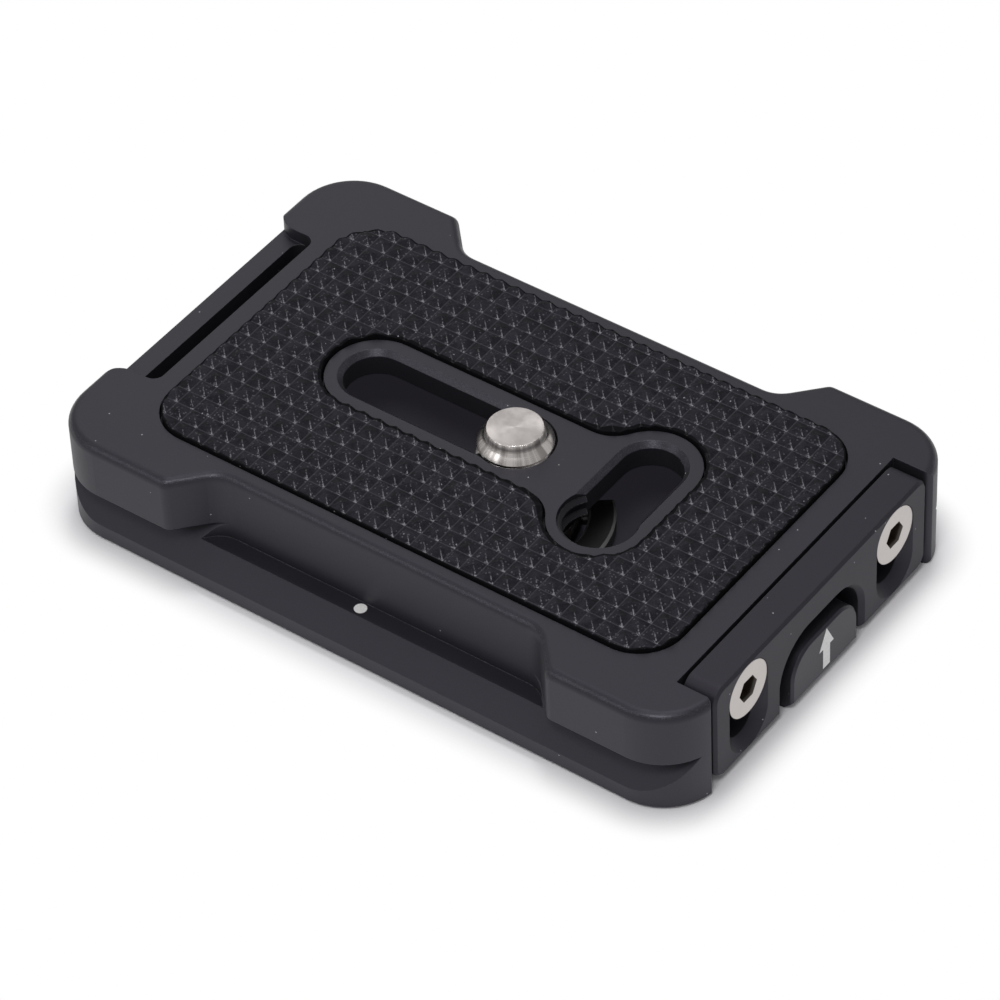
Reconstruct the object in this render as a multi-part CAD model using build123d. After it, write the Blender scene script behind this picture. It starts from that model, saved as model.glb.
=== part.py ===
"""Quick release plate for a tripod head: a dovetail plate with a rubber-faced camera seat,
a captive camera screw with a folding ring, and a stop lip that slides up behind the camera.

Millimetres, +Z up. The origin is the middle of the underside, +X points to the stop lip.
"""
from build123d import *
import math
import os

os.makedirs("parts", exist_ok=True)

# Plate outline
plate_length = 60.2
plate_width = 38.1
plate_height = 9.7
corner_radius = 5.0           # plan corners of the four lugs
top_edge_radius = 0.75        # rounded rim of the top face
base_edge_chamfer = 0.25      # rim of the underside

# Dovetail groove along both long sides
foot_height = 1.55            # upright band under the flank
groove_roof = 4.75            # height of the lugs' underside
flank_slope = 1.0             # rise of the flank for each millimetre inwards

# Recess between the lugs on each long side
recess_depth = 3.27
recess_floor = 3.35           # height of the ledge at its foot
recess_mouth = 36.0           # length at the faces of the lugs
recess_length = 30.0          # length along the recessed wall
recess_inner_radius = 2.5
recess_outer_radius = 0.9

# Camera seat, a shallow pocket for the rubber pad
pad_pocket_x = 0.15
pad_pocket_length = 48.6
pad_pocket_width = 28.8
pad_pocket_radius = 3.95
pad_pocket_depth = 1.2
pad_gap = 0.2                 # free edge round the pad
pad_proud = 0.48              # tips of the pyramids above the top face
pyramid_pitch = 1.535         # from one groove to the next, both ways
pyramid_tip = 0.1             # flat left on each pyramid
pyramid_height = 0.3          # from groove to tip
pyramid_turn = 0.75           # the moulded sheet lay this askew when the pad was cut, in degrees
groove_x = 0.16               # one groove across the pad
groove_y = -0.305             # one groove along the pad
boss_land = 1.03              # flat ring between a slot's rim and the pad
boss_fillet = 3.15            # inner corners where the two rings meet

# Long slot and cross slot for the camera screw
slot_width = 5.2
slot_chamfer = 0.45
long_slot_rear = -11.95       # centre of the long slot's rear end
screw_x = 1.55                # tapped end of the long slot, where the screw is
cross_slot_x = 11.9
cross_slot_far = 3.3          # centre of the cross slot's plain end
cross_slot_near = -3.55       # tapped end of the cross slot
web_thickness = 2.25          # metal that the slots are cut through

# Camera screw, quarter inch by twenty threads an inch
thread_diameter = 6.3
thread_pitch = 1.27
thread_turns = 3              # turns from the tapped hole to the free position
thread_clearance = 0.1        # radial, in the tapped holes
undercut_diameter = 5.0       # shank below the thread, which runs in the slots
tip_diameter = 4.6
tip_edge_chamfer = 0.08
tip_neck_height = 0.65        # plain end above the thread
tip_neck_diameter = 4.85      # foot of the plain end
tip_flare_height = 0.72       # sloping start of the thread
tip_rise = 1.4                # tip above the top face
head_diameter = 10.0
head_inset = 0.25             # head above the underside
coin_slot_width = 1.6
coin_slot_depth = 0.9
washer_diameter = 9.2
washer_thickness = 0.4
washer_clearance = 0.1        # radial, on the shank
lift_clearance = 0.1          # left between washer and web when the screw is up
thread_start_clearance = 0.05 # thread above the top face when the screw is up

# Folding ring in the head, a flat bar bent to half a circle
ring_outer_radius = 7.6
ring_inner_radius = 5.4
ring_thickness = 1.5
ring_edge_chamfer = 0.2
ring_overhang = 1.45          # ends of the bar past the pivot line
ring_inset = 0.35             # ring above the underside
ring_turn = 37.0              # direction of the pivot line from +X, in degrees
pivot_diameter = 1.0          # pins at the ends of the bar
pivot_clearance = 0.06        # radial, round the pins
pivot_depth = 1.9             # holes in the head
pivot_end_gap = 0.15          # between a pin and the bottom of its hole

# Open pocket in the underside, in which the head and the ring move
pocket_width = 24.8
pocket_gap = 0.6              # between the ring and the pocket's ends
pocket_corner = 3.0

# Strap slot at the rear end
strap_notch_width = 20.5      # between the rear lugs
strap_notch_depth = 1.2       # bar below the top face
strap_notch_radius = 1.2
lug_end_radius = 2.1          # inner corners of the rear lugs
strap_bar_setback = 0.58      # bar behind the ends of the lugs
strap_bar_thickness = 1.78
strap_slot_width = 2.02
strap_slot_radius = 0.95

# Stop lip at the front end
lip_setback = 0.2             # lip's face behind the ends of the lugs
lip_lug_radius = 0.8          # inner corners of the front lugs
lip_pocket_width = 29.1
lip_thickness = 2.9
lip_side_gap = 0.3
lip_back_gap = 0.33
lip_floor = 0.6               # lip above the underside
lip_corner_radius = 1.2
lip_edge_chamfer = 0.25
lip_travel = 3.5

# Guide tab on the end wall, under the lip's arch
tab_width = 8.85
tab_height = 5.35
tab_radius = 2.65
tab_proud = 0.25              # tab before the lip's face
tab_edge_chamfer = 0.2
tab_foot_chamfer = 0.8
arch_side_gap = 1.0
arch_top_gap = 1.35
arch_chamfer = 0.4

# Countersunk M3 screws of the lip
lip_screw_inset = 4.65         # screw from the side of the lip's pocket
lip_screw_height = 6.9
lip_screw_diameter = 2.9
lip_screw_length = 8.2
lip_screw_head = 4.9
lip_screw_head_inset = 0.04   # head below the lip's face
lip_screw_hole_clearance = 0.05
lip_screw_hole_spare = 0.5    # hole beyond the end of the screw
socket_across_flats = 2.0
socket_depth = 1.1
lip_slot_clearance = 0.05     # round the heads
lip_shank_clearance = 0.2     # round the shanks

# Worked out from the sizes above
end_x = plate_length / 2
side_y = plate_width / 2
web_underside = plate_height - web_thickness
flank_run = (groove_roof - foot_height) / flank_slope
tapped_radius = thread_diameter / 2 + thread_clearance
screw_travel = thread_turns * thread_pitch
head_top = web_underside - lift_clearance - washer_thickness - screw_travel
pivot_height = ring_inset + ring_thickness / 2
lip_face = end_x - lip_setback
lip_back = lip_face - lip_thickness
lip_wall = lip_back - lip_back_gap
strap_slot_front = -end_x + strap_bar_setback + strap_bar_thickness + strap_slot_width
OVERSHOOT = 5.0               # cutting tools run this far past the metal
NEAR = 1e-6                   # two positions closer than this are the same


def slab(face, bottom, top):
    """A plan face drawn out between two heights."""
    return Pos(0, 0, bottom) * extrude(face, top - bottom)


def long_slot(half_width):
    """Plan of the long slot, or of a ring round it."""
    run = screw_x - long_slot_rear
    middle = (screw_x + long_slot_rear) / 2
    return Pos(middle, 0) * SlotCenterToCenter(run, 2 * half_width)


def cross_slot(half_width):
    """Plan of the cross slot, or of a ring round it."""
    run = cross_slot_far - cross_slot_near
    middle = (cross_slot_far + cross_slot_near) / 2
    return Pos(cross_slot_x, middle) * SlotCenterToCenter(run, 2 * half_width, rotation=90)


def tee(half_width, corner):
    """Both slots' surrounds joined in one outline, with the inner corners rounded."""
    bridge_length = cross_slot_x - screw_x
    bridge = Pos(screw_x + bridge_length / 2, 0) * Rectangle(bridge_length, 2 * half_width)
    outline = long_slot(half_width) + bridge + cross_slot(half_width)
    inner = outline.vertices().filter_by(
        lambda v: screw_x + NEAR < v.X < cross_slot_x and abs(abs(v.Y) - half_width) < NEAR
    )
    return fillet(inner, corner)


def side_recess(side):
    """Plan of one side recess: a trapezium that runs out past the plate's side."""
    spread = (recess_mouth - recess_length) / 2 / recess_depth
    outer = recess_mouth / 2 + spread * OVERSHOOT
    inner = recess_length / 2
    wall = side * (side_y - recess_depth)
    rim = side * (side_y + OVERSHOOT)
    return make_face(Polyline((-outer, rim), (-inner, wall), (inner, wall), (outer, rim), close=True))


def plan_outline():
    """The plate from above: rounded lugs at the corners, recessed sides between them."""
    outline = RectangleRounded(plate_length, plate_width, corner_radius)
    outline = outline - side_recess(1) - side_recess(-1)
    wall = side_y - recess_depth
    inner = outline.vertices().filter_by(lambda v: abs(abs(v.Y) - wall) < NEAR)
    outline = fillet(inner, recess_inner_radius)
    outer = outline.vertices().filter_by(
        lambda v: abs(abs(v.Y) - side_y) < NEAR and abs(abs(v.X) - recess_mouth / 2) < NEAR
    )
    return fillet(outer, recess_outer_radius)


def end_opening(end, inner, width, radius):
    """Plan of the opening between two lugs, from its inner wall out past the plate's end."""
    tip = end * end_x
    reach = abs(tip - inner) + OVERSHOOT
    opening = Pos(inner + end * reach / 2, 0) * Rectangle(reach, width)
    flare = Pos(tip, 0) * Rectangle(2 * radius, width + 2 * radius)
    for side in (1, -1):
        flare = flare - Pos(tip - end * radius, side * (width / 2 + radius)) * Circle(radius)
    return opening + flare


def strap_notch():
    """Plan of the notch over the strap bar, with its inner corners rounded."""
    notch = end_opening(-1, strap_slot_front, strap_notch_width, lug_end_radius)
    return fillet(notch.vertices().sort_by(Axis.X)[-2:], strap_notch_radius)


def dovetail_groove(side):
    """One straight groove: a level roof under the lugs and a sloping flank."""
    section = Polyline(
        (0, side * (side_y - flank_run), groove_roof),
        (0, side * (side_y + OVERSHOOT), groove_roof),
        (0, side * (side_y + OVERSHOOT), foot_height - OVERSHOOT * flank_slope),
        close=True,
    )
    return extrude(make_face(section), plate_length / 2, both=True)


def plate_body():
    """The milled blank: foot, grooves and lugs."""
    foot = slab(RectangleRounded(plate_length, plate_width, corner_radius), 0, recess_floor)
    foot = chamfer(foot.faces().sort_by(Axis.Z)[0].edges(), base_edge_chamfer)
    flange = slab(plan_outline(), recess_floor, plate_height)
    flange = fillet(flange.faces().sort_by(Axis.Z)[-1].edges(), top_edge_radius)
    return foot + flange - dovetail_groove(1) - dovetail_groove(-1)


def seat_cuts():
    """Pad pocket with the ring of metal left round both slots."""
    pocket = Pos(pad_pocket_x, 0) * RectangleRounded(pad_pocket_length, pad_pocket_width, pad_pocket_radius)
    ring = tee(slot_width / 2 + slot_chamfer + boss_land, boss_fillet)
    return slab(pocket - ring, plate_height - pad_pocket_depth, plate_height + OVERSHOOT)


def screw_pocket():
    """The open pocket under the web, in which the screw's head and ring move."""
    reach = ring_outer_radius + pocket_gap
    rear = long_slot_rear - reach
    front = cross_slot_x + reach
    outline = Pos((rear + front) / 2, 0) * RectangleRounded(front - rear, pocket_width, pocket_corner)
    return slab(outline, -OVERSHOOT, web_underside)


def slot_cut(plan):
    """A slot through the web with a chamfered rim, from its plan at a given half width."""
    narrow = slot_width / 2
    through = slab(plan(narrow), web_underside - OVERSHOOT, plate_height + OVERSHOOT)
    rim = Pos(0, 0, plate_height) * extrude(plan(narrow + slot_chamfer), -slot_chamfer, taper=45)
    return through + rim


def tapped_hole(x, y):
    """A tapped end of a slot, at the thread's outer size."""
    return slab(Pos(x, y) * Circle(tapped_radius), web_underside, plate_height + OVERSHOOT)


def strap_cuts():
    """The notch over the strap bar, the strap slot, and the bar's end face behind the lugs."""
    notch = strap_notch()
    middle = strap_slot_front - strap_slot_width / 2
    slot = Pos(middle, 0) * RectangleRounded(strap_slot_width, strap_notch_width, strap_slot_radius)
    behind = Pos(-end_x + strap_bar_setback - OVERSHOOT / 2, 0) * Rectangle(OVERSHOOT, plate_width)
    return (
        slab(notch, plate_height - strap_notch_depth, plate_height + OVERSHOOT)
        + slab(slot, -OVERSHOOT, plate_height)
        + slab(notch & behind, -OVERSHOOT, plate_height)
    )


def arch_outline(width, height, radius, bottom):
    """An upright face with a rounded top, drawn across the plate's end."""
    face = Pos(0, (height + bottom) / 2) * Rectangle(width, height - bottom)
    return fillet(face.vertices().sort_by(Axis.Y)[-2:], radius)


def across(x):
    """A plane across the plate at x, with the sketch's x along +Y and its y along +Z."""
    return Plane(origin=(x, 0, 0), x_dir=(0, 1, 0), z_dir=(1, 0, 0))


def guide_tab():
    """The tab on the end wall that the lip's arch clears."""
    face = across(lip_wall) * arch_outline(tab_width, tab_height, tab_radius, 0)
    tab = extrude(face, lip_face + tab_proud - lip_wall)
    rim = tab.faces().sort_by(Axis.X)[-1].edges().sort_by(Axis.Z)
    tab = chamfer(rim[1:], tab_edge_chamfer)
    foot = tab.faces().sort_by(Axis.X)[-1].edges().sort_by(Axis.Z)[0]
    return chamfer(foot, tab_foot_chamfer)


def lip_screw_places():
    """Centres of the two lip screws across the plate's end."""
    reach = lip_pocket_width / 2 - lip_screw_inset
    return [(side * reach, lip_screw_height) for side in (-1, 1)]


def lip_screw_holes():
    """Threaded holes in the end wall, at the screws' outer size."""
    depth = lip_screw_length - lip_thickness + lip_screw_hole_spare
    radius = lip_screw_diameter / 2 + lip_screw_hole_clearance
    holes = [across(lip_wall) * Pos(y, z) * Circle(radius) for y, z in lip_screw_places()]
    return [extrude(hole, -depth) for hole in holes]


def base_plate():
    """The whole machined plate."""
    lip_room = end_opening(1, lip_wall, lip_pocket_width, lip_lug_radius)
    plate = plate_body() - seat_cuts() - screw_pocket()
    plate = plate - slot_cut(long_slot) - slot_cut(cross_slot)
    plate = plate - tapped_hole(screw_x, 0) - tapped_hole(cross_slot_x, cross_slot_near)
    plate = plate - strap_cuts() - slab(lip_room, -OVERSHOOT, plate_height + OVERSHOOT)
    plate = plate + guide_tab()
    for hole in lip_screw_holes():
        plate = plate - hole
    return plate


def groove_places(first, span):
    """Where parallel grooves lie across a span, a pitch apart."""
    count = math.ceil(span / 2 / pyramid_pitch) + 1
    return [first + i * pyramid_pitch for i in range(-count, count + 1)]


def pyramid_grooves():
    """Two crossing sets of shallow grooves, which leave pyramids between them."""
    half = (pyramid_pitch - pyramid_tip) / 2
    top = plate_height + pad_proud
    vee = Polyline((0, -half, top), (0, half, top), (0, 0, top - pyramid_height), close=True)
    groove = extrude(make_face(vee), pad_pocket_length, both=True)
    along = [Pos(0, y, 0) * groove for y in groove_places(groove_y, pad_pocket_width)]
    crossing = [Pos(x, 0, 0) * Rot(0, 0, 90) * groove for x in groove_places(groove_x, pad_pocket_length)]
    return [[Rot(0, 0, pyramid_turn) * g for g in grooves] for grooves in (along, crossing)]


def rubber_pad():
    """The pad, cut from a moulded sheet of pyramids, with its opening round the boss."""
    outline = Pos(pad_pocket_x, 0) * RectangleRounded(
        pad_pocket_length - 2 * pad_gap, pad_pocket_width - 2 * pad_gap, pad_pocket_radius - pad_gap
    )
    opening = tee(slot_width / 2 + slot_chamfer + boss_land + pad_gap, boss_fillet - pad_gap)
    pad = slab(outline - opening, plate_height - pad_pocket_depth, plate_height + pad_proud)
    for grooves in pyramid_grooves():
        pad = pad - grooves
    return pad


def stop_lip():
    """The sliding lip: rounded corners, an arch over the guide tab and two countersunk slots."""
    width = lip_pocket_width - 2 * lip_side_gap
    middle = (plate_height + lip_floor) / 2
    face = Pos(0, middle) * RectangleRounded(width, plate_height - lip_floor, lip_corner_radius)
    lip = extrude(across(lip_back) * face, lip_thickness)
    lip = chamfer(lip.faces().sort_by(Axis.X)[-1].edges(), lip_edge_chamfer)
    arch_width = tab_width + 2 * arch_side_gap
    arch_height = tab_height + arch_top_gap
    arch = arch_outline(arch_width, arch_height, tab_radius + arch_side_gap, -OVERSHOOT)
    lip = lip - extrude(across(lip_back) * arch, lip_thickness)
    rim = arch_outline(
        arch_width + 2 * arch_chamfer, arch_height + arch_chamfer,
        tab_radius + arch_side_gap + arch_chamfer, -OVERSHOOT,
    )
    lip = lip - extrude(across(lip_face) * rim, -arch_chamfer, taper=45)
    head_half = lip_screw_head / 2 + lip_screw_head_inset + lip_slot_clearance
    shank_half = lip_screw_diameter / 2 + lip_shank_clearance
    for y, z in lip_screw_places():
        place = across(lip_face) * Pos(y, z - lip_travel / 2)
        mouth = place * SlotCenterToCenter(lip_travel, 2 * head_half, rotation=90)
        shank = place * SlotCenterToCenter(lip_travel, 2 * shank_half, rotation=90)
        lip = lip - extrude(mouth, shank_half - head_half, taper=45)
        lip = lip - extrude(shank, -lip_thickness)
    return lip


def lip_screw(y, z):
    """A countersunk socket screw, its head just below the lip's face."""
    head_radius = lip_screw_head / 2
    shank_radius = lip_screw_diameter / 2
    cone = head_radius - shank_radius
    profile = Polyline(
        (0, 0), (head_radius, 0), (shank_radius, -cone), (shank_radius, -lip_screw_length),
        (0, -lip_screw_length), close=True,
    )
    screw = revolve(make_face(Plane.XZ * profile), Axis.Z)
    hexagon = RegularPolygon(socket_across_flats / 2, 6, major_radius=False)
    screw = screw - extrude(hexagon, -socket_depth)
    return across(lip_face - lip_screw_head_inset) * Pos(y, z) * screw


def camera_screw():
    """The captive screw: head, undercut shank, thread and tip, turned in one piece."""
    tip_top = plate_height + tip_rise
    tip_radius = tip_diameter / 2
    neck_foot = tip_top - tip_neck_height
    thread_radius = thread_diameter / 2
    thread_start = plate_height - screw_travel + thread_start_clearance
    profile = Polyline(
        (0, head_inset), (head_diameter / 2, head_inset), (head_diameter / 2, head_top),
        (undercut_diameter / 2, head_top), (undercut_diameter / 2, thread_start),
        (thread_radius, thread_start), (thread_radius, neck_foot - tip_flare_height),
        (tip_neck_diameter / 2, neck_foot), (tip_radius, tip_top - tip_edge_chamfer),
        (tip_radius - tip_edge_chamfer, tip_top), (0, tip_top), close=True,
    )
    screw = revolve(make_face(Plane.XZ * profile), Axis.Z)
    coin_slot = Box(
        coin_slot_width, head_diameter, coin_slot_depth, align=(Align.CENTER, Align.CENTER, Align.MIN)
    )
    screw = screw - Pos(0, 0, head_inset) * coin_slot
    hole_radius = pivot_diameter / 2 + pivot_clearance
    for side in (1, -1):
        start = side * (head_diameter / 2 - pivot_depth)
        mouth = Plane(origin=(start, 0, pivot_height), z_dir=(side, 0, 0))
        screw = screw - extrude(mouth * Circle(hole_radius), pivot_depth + OVERSHOOT)
    return Pos(screw_x, 0, 0) * Rot(0, 0, ring_turn) * screw


def screw_washer():
    """The washer that rides on the head."""
    bore = undercut_diameter / 2 + washer_clearance
    ring = Circle(washer_diameter / 2) - Circle(bore)
    return Pos(screw_x, 0, 0) * slab(ring, head_top, head_top + washer_thickness)


def fold_ring():
    """The folding ring: half a circle of flat bar, with a pin at each end for the head."""
    half = Pos(0, ring_overhang - ring_outer_radius) * Rectangle(2 * ring_outer_radius, 2 * ring_outer_radius)
    plan = (Circle(ring_outer_radius) - Circle(ring_inner_radius)) & half
    ring = slab(plan, -ring_thickness / 2, ring_thickness / 2)
    ring = chamfer(ring.edges(), ring_edge_chamfer)
    pin_end = head_diameter / 2 - pivot_depth + pivot_end_gap
    pin_length = (ring_inner_radius + ring_outer_radius) / 2 - pin_end
    for side in (1, -1):
        tip = Plane(origin=(side * pin_end, 0, 0), z_dir=(side, 0, 0))
        ring = ring + extrude(tip * Circle(pivot_diameter / 2), pin_length)
    return Pos(screw_x, 0, pivot_height) * Rot(0, 0, ring_turn) * ring


nodes = {
    "base_plate": base_plate(),
    "rubber_pad": rubber_pad(),
    "stop_lip": stop_lip(),
    "camera_screw": camera_screw(),
    "screw_washer": screw_washer(),
    "fold_ring": fold_ring(),
}
for label, place in zip(("near", "far"), lip_screw_places()):
    nodes[f"lip_screw_{label}"] = lip_screw(*place)

for name, solid in nodes.items():
    solid.label = name
    export_step(solid, f"parts/{name}.step")
    print(f"{name}: {solid.volume:.1f} mm3")
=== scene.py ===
# %% [markdown]
# # A tripod quick release plate
# The plate is milled from one bar of aluminium, blasted with fine beads and anodised black. A rubber
# pad, a captive camera screw and a sliding stop lip sit in it. The solids come from the CAD frame.
# This lesson adds the camera, the light, the finishes, the threads and the two printed marks.

# %% Load the frame
import math
import bmesh
import bpy
from mathutils import Matrix, Vector


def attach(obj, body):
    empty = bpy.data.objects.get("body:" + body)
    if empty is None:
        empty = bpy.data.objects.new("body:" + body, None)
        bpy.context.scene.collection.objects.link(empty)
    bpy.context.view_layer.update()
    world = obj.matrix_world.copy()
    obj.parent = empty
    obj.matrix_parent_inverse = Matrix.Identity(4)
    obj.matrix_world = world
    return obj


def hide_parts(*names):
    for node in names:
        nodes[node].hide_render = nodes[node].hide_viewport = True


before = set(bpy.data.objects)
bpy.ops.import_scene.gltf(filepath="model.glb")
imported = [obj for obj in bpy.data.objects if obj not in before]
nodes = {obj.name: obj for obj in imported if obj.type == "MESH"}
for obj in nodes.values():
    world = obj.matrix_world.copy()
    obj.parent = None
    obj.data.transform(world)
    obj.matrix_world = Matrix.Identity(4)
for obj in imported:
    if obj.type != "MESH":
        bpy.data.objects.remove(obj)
scene = bpy.context.scene
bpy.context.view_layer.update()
MM = 0.001

# %% [markdown]
# ## The camera
# The photograph looks down over the corner between the lip's end and the near side, with a long lens,
# so the plate's edges hardly converge. The place, the turn and the lens were fitted to those edges, so
# that each corner of the CAD model falls on its pixel. A camera can also be aimed at a target, but a
# typed place and turn are easier to check.

# %% Camera
camera_place = Vector((187.722, -240.975, 290.918)) * MM
camera_turn = (46.6169, 1.9937, 36.0741)
camera_data = bpy.data.cameras.new("camera")
camera_data.sensor_width = 36.0
camera_data.lens = 193.961
camera_data.clip_start = 0.01
camera_data.clip_end = 20.0
camera = bpy.data.objects.new("camera", camera_data)
camera.location = camera_place
camera.rotation_euler = [math.radians(angle) for angle in camera_turn]
scene.collection.objects.link(camera)
scene.camera = camera
print("camera stands", round(camera_place.length / MM), "mm away")

# %% [markdown]
# ## Shader sums in plain Python
# A finish is a small sum: grain plus wear, dust where a spot is near. Placing a node for each plus and
# minus hides that sum, so one class wraps a socket and turns Python's operators into Math nodes. Every
# other node comes from its one method, which sets the settings first and then the sockets. The last few
# methods only give that method's common uses a short name.

# %% Sockets that can be added and multiplied
class Socket:
    """A shader socket that Python's arithmetic works on."""

    def __init__(self, tree, socket=None):
        self.tree = tree
        self.socket = socket

    def node(self, kind, settings, sockets, output=0):
        """Adds a node: settings first, then the values or links of its sockets."""
        made = self.tree.nodes.new(kind)
        for name, value in settings.items():
            setattr(made, name, value)
        for name, value in sockets.items():
            if isinstance(value, Socket):
                self.tree.links.new(value.socket, made.inputs[name])
            else:
                made.inputs[name].default_value = value
        return Socket(self.tree, made.outputs[output])

    def sum(self, operation, first, second=0.0):
        return self.node("ShaderNodeMath", {"operation": operation}, {0: first, 1: second})

    def __add__(self, other):
        return self.sum("ADD", self, other)

    def __radd__(self, other):
        return self.sum("ADD", other, self)

    def __sub__(self, other):
        return self.sum("SUBTRACT", self, other)

    def __rsub__(self, other):
        return self.sum("SUBTRACT", other, self)

    def __mul__(self, other):
        return self.sum("MULTIPLY", self, other)

    def __rmul__(self, other):
        return self.sum("MULTIPLY", other, self)

    def __gt__(self, other):
        return self.sum("GREATER_THAN", self, other)

    def __lt__(self, other):
        return self.sum("LESS_THAN", self, other)

    def absolute(self):
        return self.sum("ABSOLUTE", self)

    def larger(self, other):
        return self.sum("MAXIMUM", self, other)

    def smaller(self, other):
        return self.sum("MINIMUM", self, other)

    def ramp(self, low, high):
        """0 below low, 1 above high, smooth between."""
        settings = {"interpolation_type": "SMOOTHSTEP"}
        return self.node("ShaderNodeMapRange", settings, {"Value": self, "From Min": low, "From Max": high})

    def blend(self, first, second):
        """A colour that goes from first to second as this value goes from 0 to 1."""
        settings = {"data_type": "RGBA", "clamp_factor": True}
        return self.node("ShaderNodeMix", settings, {0: self, 6: first, 7: second}, 2)

    def vector(self, operation, other=None):
        """A Vector Math node with this vector first."""
        sockets = {0: self}
        if other is not None:
            sockets[1] = other
        output = "Value" if operation in ("LENGTH", "DOT_PRODUCT") else "Vector"
        return self.node("ShaderNodeVectorMath", {"operation": operation}, sockets, output)

    def part(self, axis):
        """One part of a vector: X, Y or Z."""
        return self.node("ShaderNodeSeparateXYZ", {}, {0: self}, axis)

    def grain(self, scale, detail=2.0):
        """Soft noise between 0 and 1 at this place, with scale in grains a metre."""
        return self.node("ShaderNodeTexNoise", {}, {"Vector": self, "Scale": scale, "Detail": detail})


print("socket sums ready")

# %% [markdown]
# ## A start for every finish
# All finishes read Object coordinates, which are metres in the plate's own frame. A grain of a tenth of
# a millimetre is then a scale of ten thousand, and it stays in place when a piece moves with its joint.
# The edges of a solid are sharp and those of a real piece are not, so each finish can round them: the
# Bevel node bends the normals near an edge, and how far it bends them is a mask of the edges.

# %% Start of a finish
bevel_samples = 6


def colour(red, green, blue):
    return (red, green, blue, 1.0)


class Finish:
    """A material with its Principled shader, the object's coordinates and a way to its sockets."""

    def __init__(self, name):
        self.material = bpy.data.materials.new(name)
        self.material.use_nodes = True
        tree = self.material.node_tree
        self.shader = tree.nodes["Principled BSDF"]
        self.start = Socket(tree)
        self.place = self.start.node("ShaderNodeTexCoord", {}, {}, "Object")

    def set(self, **sockets):
        """Sets or links sockets of the shader, named with _ for a space."""
        for name, value in sockets.items():
            target = self.shader.inputs[name.replace("_", " ")]
            if isinstance(value, Socket):
                self.start.tree.links.new(value.socket, target)
            else:
                target.default_value = value

    def facing(self):
        """1 on a face that looks up, 0 on an upright one, -1 on one that looks down."""
        return self.start.node("ShaderNodeNewGeometry", {}, {}, "True Normal").part("Z")

    def rounded(self, radius, slight=0.01, full=0.2):
        """Normals as if each sharp edge were rounded by this radius, and a mask of those edges."""
        normal = self.start.node("ShaderNodeBevel", {"samples": bevel_samples}, {"Radius": radius})
        flat = self.start.node("ShaderNodeNewGeometry", {}, {}, "Normal")
        bent = 1.0 - normal.vector("DOT_PRODUCT", flat)
        return normal, bent.ramp(slight, full)

    def bump(self, height, depth, normal=None):
        """Raises the surface by a height from 0 to 1, with depth in metres."""
        sockets = {"Height": height, "Distance": depth, "Strength": 1.0}
        if normal:
            sockets["Normal"] = normal
        self.set(Normal=self.start.node("ShaderNodeBump", {}, sockets))

    def dress(self, piece):
        """Puts the material on every slot of a piece."""
        piece.data.materials.clear()
        piece.data.materials.append(self.material)


print("finish start ready")

# %% [markdown]
# ## Floor and light
# The photograph is taken in a white light tent. A pale floor lies under the plate and keeps its soft
# contact shadow. From a few millimetres outside the plate on, it turns into plain white for the camera
# and for reflections, and under the plate a dark glow paints the shadow there. Lamps strong enough to
# turn paper white would also grey the black plate, so the white is a glow of its own. The light is a
# weak dome, a lamp behind the plate whose reflection lies on the top face, a lamp high up that makes
# the pad's ridges glint, and two lamps on the camera's side for the walls and the slots.

# %% Floor
floor_radius = 0.7
floor_drop = 0.02 * MM

shape = bmesh.new()
bmesh.ops.create_circle(shape, cap_ends=True, radius=floor_radius, segments=128)
bmesh.ops.translate(shape, verts=shape.verts, vec=(0, 0, -floor_drop))
floor_mesh = bpy.data.meshes.new("floor")
shape.to_mesh(floor_mesh)
shape.free()
floor = bpy.data.objects.new("floor", floor_mesh)
scene.collection.objects.link(floor)
print("floor radius", floor_radius, "m")

# %% Paper on the floor
corner_middles = Vector((25.1, 14.05, 1000.0)) * MM
painted_shadow_full_to = 0.5 * MM
white_from = 4.4 * MM
white_to = 8.5 * MM
mirror_white = 6.5 * MM
plain_white = colour(1, 1, 1)
painted_shadow_glow = colour(0.0135, 0.0125, 0.0165)


def seen_by(start, *rays):
    """1 for the named kinds of rays, 0 for all others."""
    path = start.node("ShaderNodeLightPath", {}, {})
    kinds = [Socket(start.tree, path.socket.node.outputs[f"Is {ray} Ray"]) for ray in rays]
    return start.node("ShaderNodeClamp", {}, {"Value": sum(kinds[1:], kinds[0])})


def outside_of(place, corners):
    """Distance in plan from a rectangle round the origin whose far corner is given."""
    past = place.vector("ABSOLUTE").vector("SUBTRACT", corners)
    return past.vector("MAXIMUM", (0.0, 0.0, 0.0)).vector("LENGTH")


paper = Finish("floor_paper")
paper_tone = paper.place.grain(60.0)
paper.set(Base_Color=paper_tone.blend(colour(0.78, 0.77, 0.80), colour(0.82, 0.81, 0.84)))
paper.set(Roughness=0.9, Specular_IOR_Level=0.1)
outside = outside_of(paper.place, corner_middles)
far = seen_by(paper.start, "Camera", "Transmission") * outside.ramp(white_from, white_to)
far = far + seen_by(paper.start, "Glossy") * outside.ramp(white_from, mirror_white)
# Under the plate a dark glow is mixed in for the camera and reflections: a painted shadow.
under = (1.0 - outside.ramp(painted_shadow_full_to, white_from)) * seen_by(paper.start, "Camera", "Glossy") * 0.95
lit = Socket(paper.start.tree, paper.shader.outputs[0])
for share, tone in ((far, plain_white), (under, painted_shadow_glow)):
    glow = paper.start.node("ShaderNodeEmission", {}, {"Color": tone, "Strength": 1.0})
    lit = paper.start.node("ShaderNodeMixShader", {}, {0: share, 1: lit, 2: glow})
paper.start.tree.links.new(lit.socket, paper.start.tree.nodes["Material Output"].inputs["Surface"])
paper.dress(floor)
print("plain white from", round(white_to / MM, 1), "mm outside the corners' middles")

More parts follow.
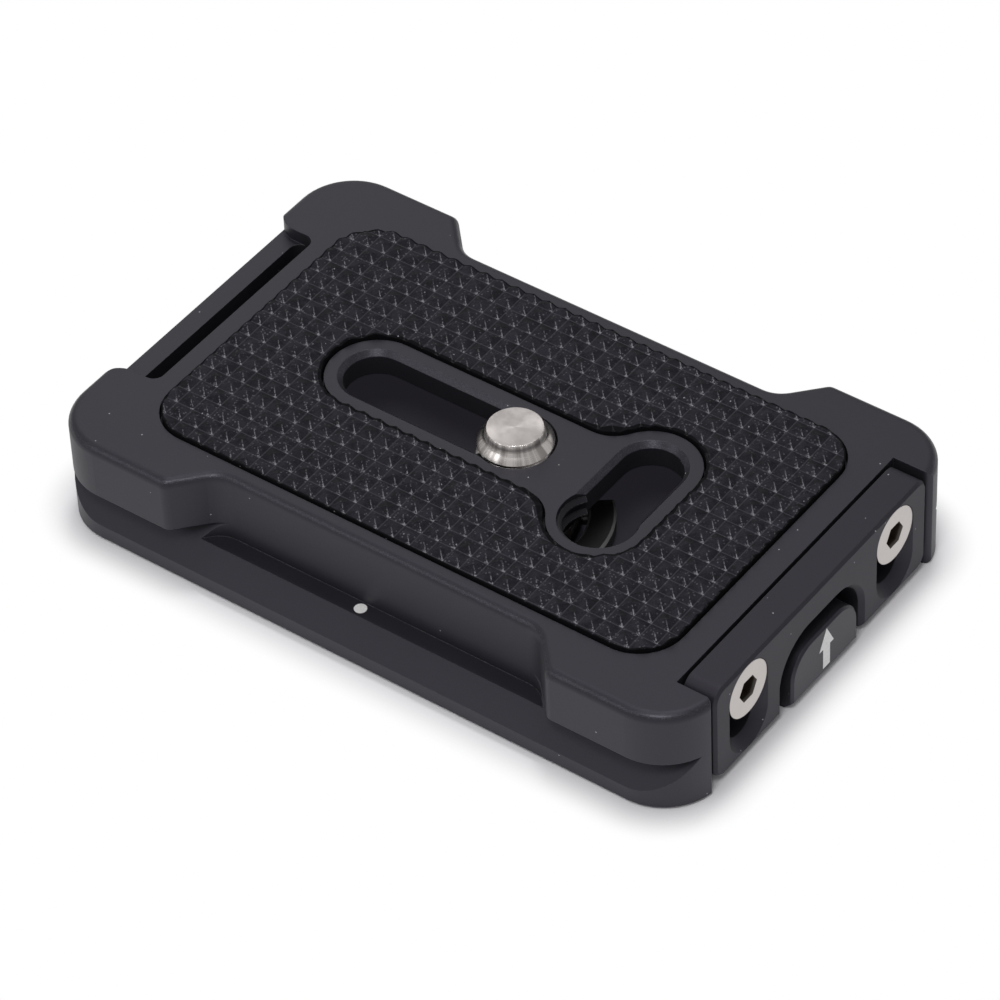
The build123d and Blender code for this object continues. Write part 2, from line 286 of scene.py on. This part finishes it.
# %% Dome and lamps
dome_level = 0.40
world = bpy.data.worlds.new("tent")
world.use_nodes = True
scene.world = world
sky = Socket(world.node_tree)
level = dome_level + (1.0 - dome_level) * seen_by(sky, "Camera", "Transmission")
background = world.node_tree.nodes["Background"]
background.inputs["Color"].default_value = plain_white
world.node_tree.links.new(level.socket, background.inputs["Strength"])

lamps = {
    "back_lamp": {"place": (-0.145, 0.115, 0.13), "size": 0.12, "power": 0.040},
    "high_lamp": {"place": (-0.06, 0.145, 0.56), "size": 0.09, "power": 0.70},
    "camera_lamp": {"place": (0.12, -0.24, 0.50), "size": 0.14, "power": 0.9},
    "front_lamp": {"place": (-0.30, -0.46, 0.40), "size": 0.28, "power": 0.36},
}
for name, lamp in lamps.items():
    data = bpy.data.lights.new(name, "AREA")
    data.size = lamp["size"]
    data.energy = lamp["power"]
    light = bpy.data.objects.new(name, data)
    light.location = lamp["place"]
    light.rotation_euler = (-Vector(lamp["place"])).to_track_quat("-Z", "Y").to_euler()
    scene.collection.objects.link(light)
scene.view_settings.view_transform = "Standard"
print("lamps:", ", ".join(lamps))

# %% [markdown]
# ## Black anodised aluminium
# Bead blasting leaves a fine even grain, and the black oxide over it is dark and satin. The real plate
# shows a faint cloudiness, a few grains of dust, and brighter lines where an edge breaks. The grain is a
# bump, and dust is a sparse field of tiny spots. A modelled bevel would give the lines as well, but a
# CAD solid is never changed, so each edge is rounded by a tenth of a millimetre in the shader. The edges
# are also painted lighter, partly as worn oxide and partly as a painted highlight, and the upward slopes
# at the top rim get a painted sparkle. The same recipe with other numbers serves the stop lip, which is
# a separate piece.

# %% Dust
dust_radius = 0.06 * MM


def dust(finish, cell, share, radius=dust_radius):
    """Sparse tiny spots: one in some cells of a random field, with cell and radius in metres."""
    sockets = {"Vector": finish.place, "Scale": 1.0 / cell}
    spots = finish.start.node("ShaderNodeTexVoronoi", {}, sockets, "Distance")
    pick = Socket(finish.start.tree, spots.socket.node.outputs["Color"])
    pick = finish.start.node("ShaderNodeSeparateColor", {}, {"Color": pick}, "Red")
    return (spots < radius / cell) * (pick > 1.0 - share)


print("dust of", round(2 * dust_radius / MM, 2), "mm")

# %% Anodised finish
edge_radius = 0.09 * MM
bead_depth = 0.012 * MM
rim_low = 8.8 * MM
rim_high = 9.2 * MM
dust_tone = colour(0.34, 0.34, 0.35)


def anodised(name, dark, light, edge_wear_and_highlight, shine, roughness, sparkle=0.0):
    """Black oxide on a blasted surface, between two close tones, with edges painted lighter and a painted
    sparkle on the upper slopes.
    """
    finish = Finish(name)
    cloud = finish.place.grain(140.0, 3.0)
    beads = finish.place.grain(7000.0, 1.0)
    chips = finish.place.grain(12000.0, 1.0)
    normal, edges = finish.rounded(edge_radius)
    facing = finish.facing()
    sloping = facing.ramp(0.45, 0.65) * (1.0 - facing.ramp(0.80, 0.95))
    rim_sparkle = sloping * finish.place.part("Z").ramp(rim_low, rim_high) * sparkle
    tone = (cloud * 0.6 + beads * 0.4).blend(dark, light)
    # Edges painted lighter, partly worn oxide and partly a painted highlight; upper slopes at the rim get a
    # painted sparkle.
    tone = (edges * beads.ramp(0.3, 0.7) * 0.75).blend(tone, edge_wear_and_highlight)
    tone = (rim_sparkle * chips.ramp(0.45, 0.75) * 0.35).blend(tone, edge_wear_and_highlight)
    finish.set(Base_Color=dust(finish, 1.2 * MM, 0.3).blend(tone, dust_tone))
    finish.set(Roughness=roughness + cloud * 0.1 + beads * 0.06 - rim_sparkle * 0.16)
    finish.set(Specular_IOR_Level=shine, Specular_Tint=colour(0.87, 0.85, 1.0))
    finish.bump(beads * 0.5 + chips * rim_sparkle, bead_depth, normal)
    return finish


plate_finish = anodised(
    "black_anodised_plate", dark=colour(0.011, 0.0103, 0.0133), light=colour(0.020, 0.0188, 0.0235),
    edge_wear_and_highlight=colour(0.11, 0.11, 0.12), shine=0.48, roughness=0.42, sparkle=1.0,
)
lip_finish = anodised(
    "black_anodised_lip", dark=colour(0.016, 0.015, 0.0192), light=colour(0.025, 0.0234, 0.0295),
    edge_wear_and_highlight=colour(0.10, 0.10, 0.11), shine=0.33, roughness=0.48,
)
plate_finish.dress(nodes["base_plate"])
lip_finish.dress(nodes["stop_lip"])
print("anodised: base_plate, stop_lip")

# %% [markdown]
# ## The rubber pad
# The pad is cut from a moulded sheet of small pyramids, which the CAD solid already has. Moulded edges
# are never sharp, so their normals are rounded, and a thin polish on them makes the front ridge of each
# pyramid glint. A light tone painted along that ridge and round its foot is a painted glint. The place
# within one pyramid comes from the pitch of the sheet, and noise breaks the lines up, as on the real pad.
# An image could hold these marks too, but a sum stays sharp from close by. The groove floors are painted
# lighter, partly as dust and partly as a painted highlight. The cut edge, round the outside and round the
# opening, and the pad's sides are dull, and painted dark as the shade of the gap beside the pad.

# %% Place within one pyramid
pyramid_pitch = 1.535 * MM
pyramid_turn = math.radians(0.75)
groove_place = Vector((0.16, -0.305, 0.0)) * MM

rubber = Finish("black_rubber")
in_pitches = {
    "Vector": rubber.place, "Location": -groove_place / pyramid_pitch,
    "Rotation": (0.0, 0.0, -pyramid_turn), "Scale": [1.0 / pyramid_pitch] * 3,
}
cell = rubber.start.node("ShaderNodeMapping", {}, in_pitches).vector("FRACTION")
along = cell.part("X")
across = cell.part("Y")
print("pyramids every", round(pyramid_pitch / MM, 3), "mm")

# %% Painted glints on the ridges, and groove floors
skin = rubber.place.grain(8000.0)
cloud = rubber.place.grain(800.0)


def from_groove(place):
    """Distance to the nearest groove, from a place within one pyramid."""
    return place.sum("PINGPONG", place, 0.5)


off_ridge = (along + across - 1.0).absolute()
near_ridge = along.ramp(0.52, 0.62) * (1.0 - off_ridge.ramp(0.10, 0.16))
# The front ridge and its foot get a painted glint: a light tone in the base colour.
front_ridge = near_ridge * (1.0 - off_ridge.ramp(0.02, 0.06)) * (0.35 + 0.65 * along.ramp(0.60, 0.95))
foot = (1.0 - across.ramp(0.07, 0.15)) * along.ramp(0.66, 0.94)
painted_glint = front_ridge.larger(foot) * skin.ramp(0.40, 0.58)
# Groove floors painted lighter: partly dust, partly a painted highlight.
groove_floor = 1.0 - from_groove(across).smaller(from_groove(along)).ramp(0.015, 0.045)
print("rubbed ridges and groove floors ready")

# %% Painted shade at the cut edge of the pad
pad_middle = Vector((0.15, 0.0, 0.0)) * MM
pad_corner = Vector((24.1, 14.2, 1000.0)) * MM
corner_radius = 3.75 * MM
opening_radius = 4.28 * MM
opening_fillet = 3.7 * MM
cross_axis = Vector((11.9, -3.55, 0.0)) * MM
rim_dark = 0.08 * MM
rim_clear = 0.16 * MM
opening_dark = 0.20 * MM
opening_clear = 0.28 * MM


def run_distance(along, side, middle, half_run):
    """Distance from a line that runs half_run to both sides of its middle."""
    over = ((along - middle).absolute() - half_run).larger(0.0)
    square = over * over + side * side
    return square.sum("SQRT", square)


east = rubber.place.part("X")
north = rubber.place.part("Y")
long_run = run_distance(east, north, -2.275 * MM, 9.675 * MM)
cross_run = run_distance(north, east - cross_axis.x, -0.125 * MM, 3.425 * MM)
both_runs = {0: long_run, 1: cross_run, 2: opening_fillet}
opening = rubber.start.node("ShaderNodeMath", {"operation": "SMOOTH_MIN"}, both_runs)
pad_corner_middle = pad_corner - Vector((corner_radius, corner_radius, 0.0))
pad_outline = outside_of(rubber.place.vector("SUBTRACT", pad_middle), pad_corner_middle)
within = 1.0 - pad_outline.ramp(corner_radius - rim_clear, corner_radius - rim_dark)
clear = opening.ramp(opening_radius + opening_dark, opening_radius + opening_clear)
# The pad's sides and a thin band along the cut edge are painted dark: painted shade of the gap.
lit_part = rubber.facing().ramp(0.2, 0.5) * (within * clear)
print("cut edge ready")

# %% Rubber finish
skin_dark = colour(0.001, 0.001, 0.0014)
skin_light = colour(0.020, 0.019, 0.0255)
floor_tone = colour(0.052, 0.050, 0.059)
speck_tone = colour(0.075, 0.073, 0.082)
painted_glint_tone = colour(0.21, 0.205, 0.225)
painted_gap_shade = colour(0.0012, 0.0011, 0.0014)
lint_tone = colour(0.25, 0.25, 0.27)
ridge_radius = 0.13 * MM
skin_depth = 0.003 * MM

worn = cloud.ramp(0.35, 0.65) * 0.5 + skin.ramp(0.25, 0.75) * 0.5
specks = dust(rubber, 0.26 * MM, 0.45, 0.075 * MM) * cloud.ramp(0.3, 0.6)
tone = worn.blend(skin_dark, skin_light)
tone = (groove_floor * 0.6).blend(tone, floor_tone)
tone = specks.blend(tone, speck_tone)
tone = painted_glint.blend(tone, painted_glint_tone)
tone = lit_part.blend(painted_gap_shade, tone)
tone = dust(rubber, 1.0 * MM, 0.3).blend(tone, lint_tone)
ridge_normal, ridges = rubber.rounded(ridge_radius, slight=0.001, full=0.02)
polish = ridges * near_ridge * skin.ramp(0.3, 0.6)
rubber.set(Base_Color=tone, Roughness=0.54 + skin * 0.12 + (1.0 - lit_part) * 0.3)
rubber.set(Specular_IOR_Level=0.20, Specular_Tint=colour(0.88, 0.86, 1.0))
rubber.set(Coat_Weight=polish, Coat_Roughness=0.14, Coat_IOR=1.7)
rubber.bump(skin, skin_depth, ridge_normal)
rubber.dress(nodes["rubber_pad"])
print("rubber: rubber_pad")

# %% [markdown]
# ## Pieces made here
# A new piece is a bmesh turned into an object that stays at the origin, with its place in its mesh. The
# CAD pieces do the same, so both follow their bodies in one frame. Edges sharper than a set angle stay
# crisp, and the rest is shaded smooth.

# %% From bmesh to piece
crisp_angle = math.radians(35)


def piece_from(shape, name, body, finish):
    """Makes an object from a bmesh, shades it, and lets it ride on a body."""
    for face in shape.faces:
        face.smooth = True
    for edge in shape.edges:
        edge.smooth = edge.calc_face_angle(0.0) < crisp_angle
    mesh = bpy.data.meshes.new(name)
    shape.to_mesh(mesh)
    shape.free()
    piece = bpy.data.objects.new(name, mesh)
    scene.collection.objects.link(piece)
    finish.dress(piece)
    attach(piece, body)
    print(name, "has", len(mesh.polygons), "faces and rides on", body)
    return piece


# %% [markdown]
# ## The camera screw's thread
# The CAD screw is a plain cylinder at the thread's outer size. Its wall is taken out of a copy, the two
# rims are drawn in to the root of the thread, and a small ridge is spun along a helix between them, at
# twenty turns to an inch. A Screw modifier would also give a helix, but a spin leaves plain faces that
# join the copy in one mesh.

# %% Turned stainless steel
screw_axis = Vector((1.55 * MM, 0.0, 0.0))
web_shade = (7.0 * MM, 8.5 * MM)
neck_wall = (10.0 * MM, 10.4 * MM)
turned_edge = 0.06 * MM
lathe_depth = 0.0012 * MM
painted_dark_reflection = colour(0.44, 0.41, 0.395)
painted_bright_reflection = colour(0.92, 0.87, 0.84)
painted_edge_highlight = colour(0.86, 0.81, 0.785)
slot_shade = colour(0.15, 0.145, 0.14)


def noise_along(value, scale, detail):
    """Soft noise between 0 and 1 that changes with one value only."""
    sockets = {"W": value, "Scale": scale, "Detail": detail}
    return value.node("ShaderNodeTexNoise", {"noise_dimensions": "1D"}, sockets)


def turned_steel(name, axis, dark, light, roughness):
    """Steel with fine rings round an upright axis, left by the lathe, and a turned side painted with
    streaks of reflection.
    """
    finish = Finish(name)
    centre = finish.place.vector("SUBTRACT", axis)
    north = centre.part("Y")
    turn = north.sum("ARCTAN2", north, centre.part("X"))
    radius = centre.vector("MULTIPLY", (1.0, 1.0, 0.0)).vector("LENGTH")
    height = finish.place.part("Z")
    facing = finish.facing()
    side = 1.0 - facing.absolute().ramp(0.90, 0.98)
    wall = (1.0 - facing.ramp(0.25, 0.45)) * height.ramp(*neck_wall)
    in_web_shade = 1.0 - height.ramp(*web_shade)
    rings = noise_along(radius, 16000.0, 2.0)
    painted_reflection_streaks = noise_along(turn, 3.2, 4.0).ramp(0.36, 0.62)
    stain = finish.place.grain(900.0, 3.0)
    normal, edges = finish.rounded(turned_edge)
    tone = (stain.ramp(0.3, 0.7) * 0.7 + rings * 0.3).blend(dark, light)
    # The turned side gets painted reflections: light and dark streaks in the base colour.
    tone = side.blend(tone, painted_reflection_streaks.blend(painted_dark_reflection, painted_bright_reflection))
    # Edges painted pale: a painted highlight.
    tone = edges.blend(tone, painted_edge_highlight)
    # Below the web the steel is painted darker: painted shade.
    tone = (in_web_shade * 0.6).blend(tone, slot_shade)
    finish.set(Base_Color=tone, Metallic=1.0, Anisotropic=0.6)
    finish.set(Roughness=roughness + stain * 0.08 + rings * 0.05 - side * painted_reflection_streaks * 0.1 + wall * 0.3)
    finish.bump(rings, lathe_depth, normal)
    return finish


screw_finish = turned_steel(
    "turned_stainless", screw_axis, dark=colour(0.42, 0.39, 0.38), light=colour(0.62, 0.58, 0.565),
    roughness=0.26,
)
print("turned steel ready")

# %% Take the thread's wall out of the screw
thread_radius = 3.15 * MM
flare_radius = 3.07 * MM
above_head = 4.0 * MM
near = 0.02 * MM
weld = 0.001 * MM
to_screw_axis = Matrix.Translation(-screw_axis)


def on_thread(vert):
    """True on the thread's outer wall, which starts above the screw's head."""
    from_axis = (vert.co - screw_axis).to_2d().length
    return vert.co.z > above_head and abs(from_axis - thread_radius) < near


shape = bmesh.new()
shape.from_mesh(nodes["camera_screw"].data)
bmesh.ops.remove_doubles(shape, verts=shape.verts, dist=weld)
wall = [f for f in shape.faces if all(on_thread(v) for v in f.verts)]
heights = [v.co.z for f in wall for v in f.verts]
thread_low = min(heights)
thread_high = max(heights)
bmesh.ops.delete(shape, geom=wall, context="FACES")
flare_rim = [v for v in shape.verts if on_thread(v) and abs(v.co.z - thread_high) < near]
flare_shrink = flare_radius / thread_radius
bmesh.ops.scale(shape, vec=(flare_shrink, flare_shrink, 1.0), space=to_screw_axis, verts=flare_rim)
print("thread runs from", round(thread_low / MM, 2), "to", round(thread_high / MM, 2), "mm")

# %% Close the screw at the thread's root
root_radius = 2.62 * MM
runout = 0.30 * MM


def rim_at(shape, height):
    """The open loop of edges at one height."""
    return [e for e in shape.edges if e.is_boundary and all(abs(v.co.z - height) < near for v in e.verts)]


def draw_in(shape, rim, radius, rise):
    """Draws an open rim of a radius in to the root, up or down by a rise, and returns the new rim."""
    made = bmesh.ops.extrude_edge_only(shape, edges=rim)["geom"]
    verts = [item for item in made if isinstance(item, bmesh.types.BMVert)]
    shrink = root_radius / radius
    bmesh.ops.scale(shape, vec=(shrink, shrink, 1.0), space=to_screw_axis, verts=verts)
    bmesh.ops.translate(shape, vec=(0, 0, rise), verts=verts)
    return [item for item in made if isinstance(item, bmesh.types.BMEdge) and item.is_boundary]


low_rim = draw_in(shape, rim_at(shape, thread_low), thread_radius, runout)
high_rim = draw_in(shape, rim_at(shape, thread_high), flare_radius, -runout)
bmesh.ops.bridge_loops(shape, edges=low_rim + high_rim)
bmesh.ops.recalc_face_normals(shape, faces=shape.faces)
print("open edges left on the screw:", sum(e.is_boundary for e in shape.edges))

# %% Spin the screw's ridge
thread_pitch = 1.27 * MM
thread_turns = 2.3
steps_a_turn = 48
ridge_foot = 0.05 * MM
lead_in = 0.45 * MM
ridge_start = thread_low + lead_in


def helix_ridge(shape, axis, base, crest, half_base, half_crest, start_angle, start_height, angle):
    """Spins a small trapezium along a helix, from a wall at base to a crest."""
    corners = ((base, -half_base), (crest, -half_crest), (crest, half_crest), (base, half_base))
    ends = [shape.verts.new((radius, 0.0, start_height + height)) for radius, height in corners]
    first = shape.faces.new(ends)
    turn = Matrix.Rotation(start_angle, 4, "Z")
    bmesh.ops.transform(shape, matrix=Matrix.Translation(axis) @ turn, verts=ends)
    steps = max(2, round(angle / math.tau * steps_a_turn))
    rise = Vector((0, 0, thread_pitch * angle / math.tau / steps))
    bmesh.ops.spin(
        shape, geom=[first, *first.edges, *first.verts], cent=axis, axis=(0, 0, 1), dvec=rise, angle=angle,
        steps=steps, use_merge=False, use_duplicate=False,
    )


ridge = bmesh.new()
helix_ridge(
    ridge, screw_axis, base=root_radius - ridge_foot, crest=thread_radius, half_base=0.52 * MM,
    half_crest=0.08 * MM, start_angle=0.0, start_height=ridge_start, angle=math.tau * thread_turns,
)
bmesh.ops.recalc_face_normals(ridge, faces=ridge.faces)
ridge_mesh = bpy.data.meshes.new("ridge")
ridge.to_mesh(ridge_mesh)
ridge.free()
shape.from_mesh(ridge_mesh)
screw = piece_from(shape, "camera_screw_threaded", "screw", screw_finish)
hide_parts("camera_screw")

# %% [markdown]
# ## Threads in the plate
# Both slots end in a tapped hole, which takes the screw. Each hole is open to its slot, so its thread is
# a few arcs of one helix, half a pitch away from the screw's own. A cut into the plate could make them,
# but a CAD solid is never changed. So the arcs are spun like the screw's ridge, and planes trim them
# where they would leave the web at the top or the bottom.

# %% Arcs of a thread in a tapped hole
tapped_radius = 3.25 * MM
tapped_crest = 2.86 * MM
slot_half = 2.6 * MM
web_low = 7.45 * MM
web_high = 9.7 * MM
web_margin = 0.12 * MM
rim_margin = 0.45 * MM
web_turns = 4
arc_foot = 0.03 * MM
mouth = math.asin(slot_half / tapped_radius)
tapped_arc = math.tau - 2 * mouth


def trim(shape, height, up):
    """Cuts everything above or below a height away and closes the cut."""
    cut = bmesh.ops.bisect_plane(
        shape, geom=[*shape.verts, *shape.edges, *shape.faces], plane_co=(0, 0, height),
        plane_no=(0, 0, up), clear_outer=True,
    )
    edges = [item for item in cut["geom_cut"] if isinstance(item, bmesh.types.BMEdge)]
    bmesh.ops.holes_fill(shape, edges=edges)


def tapped_end(name, axis, slot_direction, finish):
    """Thread arcs in a tapped hole that opens towards the slot's direction, an angle from +X."""
    shape = bmesh.new()
    start = slot_direction + mouth
    lead = ridge_start + thread_pitch * (0.5 + start / math.tau)
    first_turn = math.floor((web_low - lead) / thread_pitch)
    for turn in range(first_turn, first_turn + web_turns):
        helix_ridge(
            shape, axis, base=tapped_radius + arc_foot, crest=tapped_crest, half_base=0.36 * MM,
            half_crest=0.06 * MM, start_angle=start, start_height=lead + turn * thread_pitch,
            angle=tapped_arc,
        )
    trim(shape, web_high - rim_margin, 1)
    trim(shape, web_low + web_margin, -1)
    bmesh.ops.recalc_face_normals(shape, faces=shape.faces)
    return piece_from(shape, name, "base", finish)


print("tapped arc spans", round(math.degrees(tapped_arc)), "degrees")

# %% Tapped ends of the slots
# The thread arcs take a darker copy of the anodised finish as painted shade inside the holes, and their
# crests get painted highlights from the lighter edge colour.
thread_painted_light_finish = anodised(
    "black_anodised_thread_painted_light", dark=colour(0.006, 0.0058, 0.007), light=colour(0.011, 0.0105, 0.0125),
    edge_wear_and_highlight=colour(0.26, 0.26, 0.27), shine=0.30, roughness=0.30,
)
tapped_end("long_slot_thread", screw_axis, math.pi, thread_painted_light_finish)
tapped_end("cross_slot_thread", cross_axis, math.pi / 2, thread_painted_light_finish)

# %% [markdown]
# ## Steel ring, washer and lip screws
# The ring is cut from flat steel bar, the lip screws are plain stainless with a faint lathe grain, and
# the washer is black nylon. None of them needs a new shape, so the CAD solids stay and only the finishes
# change. The deep socket of a lip screw sees no light, so its steel is darkened behind the head's face.

# %% Plain steel
no_socket = -1.0
socket_edge = 0.2 * MM
drawn_edge = 0.05 * MM
drawn_depth = 0.0015 * MM
painted_chamfer_highlight = colour(0.92, 0.90, 0.88)
socket_dark = colour(0.15, 0.125, 0.105)


def drawn_steel(name, dark, light, roughness, streak, socket_front=no_socket):
    """Steel with a grain stretched by the streak factors, chamfers painted pale as a highlight, and painted
    shade behind a place on X.
    """
    finish = Finish(name)
    stretched = finish.start.node("ShaderNodeMapping", {}, {"Vector": finish.place, "Scale": streak})
    lines = stretched.grain(1.0, 3.0)
    stain = finish.place.grain(700.0)
    normal, edges = finish.rounded(drawn_edge)
    facing = finish.facing()
    chamfer = facing.ramp(0.5, 0.65) * (1.0 - facing.ramp(0.8, 0.9))
    inside = 1.0 - finish.place.part("X").ramp(socket_front - socket_edge, socket_front)
    tone = (lines * 0.5 + stain * 0.5).blend(dark, light)
    # Upward slopes painted pale: a painted highlight on the chamfers.
    tone = (chamfer * 0.5).blend(tone, painted_chamfer_highlight)
    tone = inside.blend(tone, socket_dark)
    finish.set(Base_Color=tone, Metallic=1.0)
    finish.set(Roughness=roughness + lines * 0.1 + stain * 0.06 + chamfer * 0.15 - edges * 0.04)
    finish.bump(lines, drawn_depth, normal)
    return finish


ring_finish = drawn_steel(
    "ring_steel", dark=colour(0.13, 0.129, 0.137), light=colour(0.18, 0.178, 0.187), roughness=0.58,
    streak=(900.0, 900.0, 5000.0),
)
head_finish = drawn_steel(
    "lip_screw_steel", dark=colour(0.46, 0.43, 0.415), light=colour(0.58, 0.545, 0.525), roughness=0.34,
    streak=(900.0, 5200.0, 5200.0), socket_front=29.7 * MM,
)
ring_finish.dress(nodes["fold_ring"])
head_finish.dress(nodes["lip_screw_near"])
head_finish.dress(nodes["lip_screw_far"])
print("steel: fold_ring, lip_screw_near, lip_screw_far")

# %% Nylon
nylon = Finish("black_nylon")
nylon_grain = nylon.place.grain(3500.0)
nylon.set(Base_Color=nylon_grain.blend(colour(0.02, 0.02, 0.02), colour(0.035, 0.035, 0.036)))
nylon.set(Roughness=0.5 + nylon_grain * 0.15)
nylon.bump(nylon_grain, 0.004 * MM)
nylon.dress(nodes["screw_washer"])
print("nylon: screw_washer")

# %% [markdown]
# ## The printed marks
# A white arrow on the guide tab shows which way the lip moves, and a white dot on the near ledge marks
# the middle of the plate. Both are thin ink. A mask in the plate's finish could colour them, but small
# outlines, raised by a hundredth or two of a millimetre, keep clean edges in every view.

# %% White ink
ink_height = 0.015 * MM
ink = Finish("white_ink")
ink_grain = ink.place.grain(4200.0, 3.0)
ink.set(Base_Color=ink_grain.ramp(0.25, 0.65).blend(colour(0.80, 0.79, 0.79), colour(0.90, 0.89, 0.88)))
ink.set(Roughness=0.55 + ink_grain * 0.15)
ink.bump(ink_grain, 0.004 * MM)


def raise_ink(shape, direction, name):
    """Gives a flat outline the thickness of the ink."""
    made = bmesh.ops.extrude_face_region(shape, geom=shape.faces[:])["geom"]
    top = [item for item in made if isinstance(item, bmesh.types.BMVert)]
    bmesh.ops.translate(shape, verts=top, vec=Vector(direction) * ink_height)
    bmesh.ops.recalc_face_normals(shape, faces=shape.faces)
    return piece_from(shape, name, "base", ink)


print("ink is", round(ink_height / MM, 3), "mm thick")

# %% Arrow
tab_face = 30.15 * MM
arrow_middle = 0.14 * MM
arrow_tip = 5.10 * MM
arrow_shoulder = 3.20 * MM
arrow_foot = 1.14 * MM
arrow_half_head = 0.97 * MM
arrow_half_shaft = 0.46 * MM
arrow_side = [
    (arrow_half_head, arrow_shoulder), (arrow_half_shaft, arrow_shoulder), (arrow_half_shaft, arrow_foot),
]
other_side = [(-half, height) for half, height in reversed(arrow_side)]
arrow_outline = [(0.0, arrow_tip), *arrow_side, *other_side]
shape = bmesh.new()
corners = [shape.verts.new((tab_face, arrow_middle + half, height)) for half, height in arrow_outline]
shape.faces.new(corners)
raise_ink(shape, (1, 0, 0), "arrow_mark")

# %% Dot
dot_place = Matrix.Translation(Vector((-1.38, -16.47, 3.35)) * MM)
dot_radius = 0.52 * MM
shape = bmesh.new()
bmesh.ops.create_circle(shape, cap_ends=True, radius=dot_radius, segments=40, matrix=dot_place)
raise_ink(shape, (0, 0, 1), "dot_mark")
